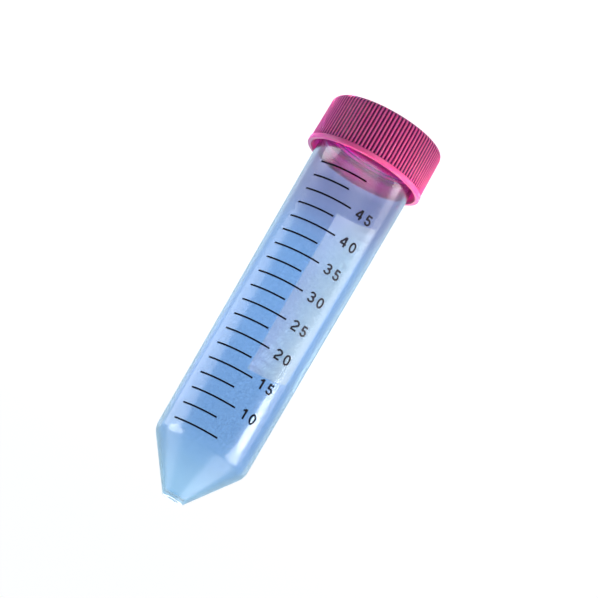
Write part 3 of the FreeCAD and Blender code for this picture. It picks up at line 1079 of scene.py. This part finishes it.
# %% [markdown]
# ## Camera
#
# The tube is shown leaning, with its cap up and to the right. It could be tilted
# for that, but it has to stand in the frame as it was built. So the camera is
# rolled instead, by more than half a turn, and looks down at the tube a little
# from 0.85 m away. A long lens at that distance keeps the sides nearly parallel.

# %% Place the camera
EYE = Vector((0, -834.9, 237.9)) * MM
TARGET = Vector((-2.4, 0, 55.1)) * MM
ROLL = math.radians(210.08)
LENS = 188.44
SENSOR_WIDTH = 36


def place_camera():
    forward = (TARGET - EYE).normalized()
    level_right = forward.cross(Vector((0, 0, 1))).normalized()
    level_up = level_right.cross(forward)
    right = level_right * math.cos(ROLL) + level_up * math.sin(ROLL)
    up = level_up * math.cos(ROLL) - level_right * math.sin(ROLL)
    data = bpy.data.cameras.new("camera")
    data.lens = LENS
    data.sensor_width = SENSOR_WIDTH
    camera = bpy.data.objects.new("camera", data)
    turned = Matrix((right, up, -forward)).transposed().to_4x4()
    camera.matrix_world = Matrix.Translation(EYE) @ turned
    bpy.context.scene.collection.objects.link(camera)
    bpy.context.scene.camera = camera
    print(f"the camera is {(TARGET - EYE).length:.3f} m away")


place_camera()


# %% [markdown]
# ## Lamps
#
# In a studio, one soft light from each side would do for the matt cap, but the
# clear wall mirrors every lamp as a stripe. Real screens could keep a lamp off a
# surface. Here a lamp can be told to leave out one kind of light, so there are
# two groups. The first lights the cap, the print and the panel and isn't
# mirrored, apart from one low lamp that gives the ribs both light and shine. Its
# small lamps stand close and have a narrow beam, so that each lights only its
# side of the cap, or the panel. The floor casts no shadow, so a lamp may stand
# below it. The second group is only mirrored, and draws the highlights.

# %% The softbox
def softbox(name, azimuth, distance, height, size, brightness, aim=0.05, colour=(1, 1, 1),
            beam=180):
    """A glowing oval that faces the axis: angles in degrees, lengths in metres."""
    data = bpy.data.lights.new(name, "AREA")
    data.shape = "ELLIPSE"
    data.size, data.size_y = size
    # Power is brightness times pi, as for any flat matt lamp, times the oval's area.
    data.energy = brightness * math.pi * size[0] * size[1] * math.pi / 4
    data.color = colour
    data.spread = math.radians(beam)
    lamp = bpy.data.objects.new(name, data)
    turn = math.radians(azimuth)
    place = Vector((-distance * math.sin(turn), -distance * math.cos(turn), height))
    facing = (Vector((0, 0, aim)) - place).to_track_quat("-Z", "Y").to_matrix().to_4x4()
    lamp.matrix_world = Matrix.Translation(place) @ facing
    lamp.visible_camera = False
    lamp.visible_transmission = False
    bpy.context.scene.collection.objects.link(lamp)
    return lamp


# %% Lamps for the matt surfaces
NARROW = 45
rib_gloss = softbox("rib_gloss", 15, 0.4, -0.125, (0.30, 0.05), 7.0, 0.0)
matt_lamps = (
    softbox("key", 40, 0.6, 0.30, (0.5, 0.4), 7.4, colour=(1.0, 0.95, 0.80)),
    softbox("left_fill", -122, 0.6, 0.15, (0.3, 0.4), 22.0, colour=(0.66, 0.48, 1.0)),
    softbox("panel_light", 86, 0.075, 0.064, (0.06, 0.05), 22.0, colour=(1.0, 0.86, 0.74),
            beam=NARROW),
    softbox("panel_back", 150, 0.4, 0.06, (0.2, 0.2), 13.0, colour=(1.0, 0.97, 0.90)),
    softbox("cap_left", -146, 0.055, -0.03, (0.05, 0.02), 17.0, 0.008, beam=NARROW),
    softbox("cap_right", 160, 0.055, -0.03, (0.05, 0.02), 14.0, 0.008, beam=NARROW),
)
for lamp in matt_lamps:
    lamp.visible_glossy = False
print(f"{len(matt_lamps)} lamps light matt surfaces only, and {rib_gloss.name} does both")

# %% [markdown]
# ## Highlights
#
# On the real tube soft bands run down both sides, with one bright streak on the
# right, a glow on the shoulder and the cone, and glints on the neck and the tip.
# A highlight could be painted, but paint turns with the tube and a highlight
# doesn't. So each is a lamp's reflection. Where the wall faces halfway between
# the camera and a lamp, it mirrors that lamp, so a stripe at azimuth 40 needs a
# lamp at azimuth 80.

# %% Lamps for the highlights
gloss_lamps = (
    softbox("left_band", -95, 0.4, 0.045, (0.42, 0.20), 2.2),
    softbox("left_high", -80, 0.5, 0.20, (0.42, 0.30), 6.0, 0.1),
    softbox("right_band", 93, 0.4, -0.03, (0.17, 0.22), 1.9),
    softbox("streak", 76, 0.4, 0.034, (0.17, 0.04), 15.0, 0.1),
    softbox("right_high", 74, 0.5, 0.16, (0.36, 0.32), 6.5, 0.1),
    softbox("cone_glow", 80, 0.37, 0.50, (0.60, 0.40), 2.4, 0.1),
    softbox("cone_left", -95, 0.42, 0.42, (0.40, 0.40), 1.2, 0.1),
    softbox("neck_left", -80, 0.07, 0.001, (0.05, 0.008), 6.0, 0.014),
    softbox("neck_front", 0, 0.07, 0.003, (0.14, 0.008), 2.0, 0.014),
    softbox("neck_right", 80, 0.07, 0.001, (0.03, 0.008), 5.0, 0.014),
    softbox("tip_glint", 180, 0.5, 0.225, (0.16, 0.05), 5.0, 0.12),
)
for lamp in gloss_lamps:
    lamp.visible_diffuse = False
print(f"{len(gloss_lamps)} lamps are only mirrored")

# %% [markdown]
# ## Light paths
#
# A ray that crosses the clear tube passes four surfaces, and what is mirrored
# inside it passes more. With the usual number of bounces such rays end early and
# leave black specks, so they may go on for longer. The Standard view shows the
# colours as they were chosen. A filmic one would grey the white floor.

# %% Colour management and light paths
scene = bpy.context.scene
scene.view_settings.view_transform = "Standard"
scene.cycles.max_bounces = 24
scene.cycles.transmission_bounces = 20
scene.cycles.transparent_max_bounces = 16
print(f"a ray may bounce {scene.cycles.max_bounces} times")
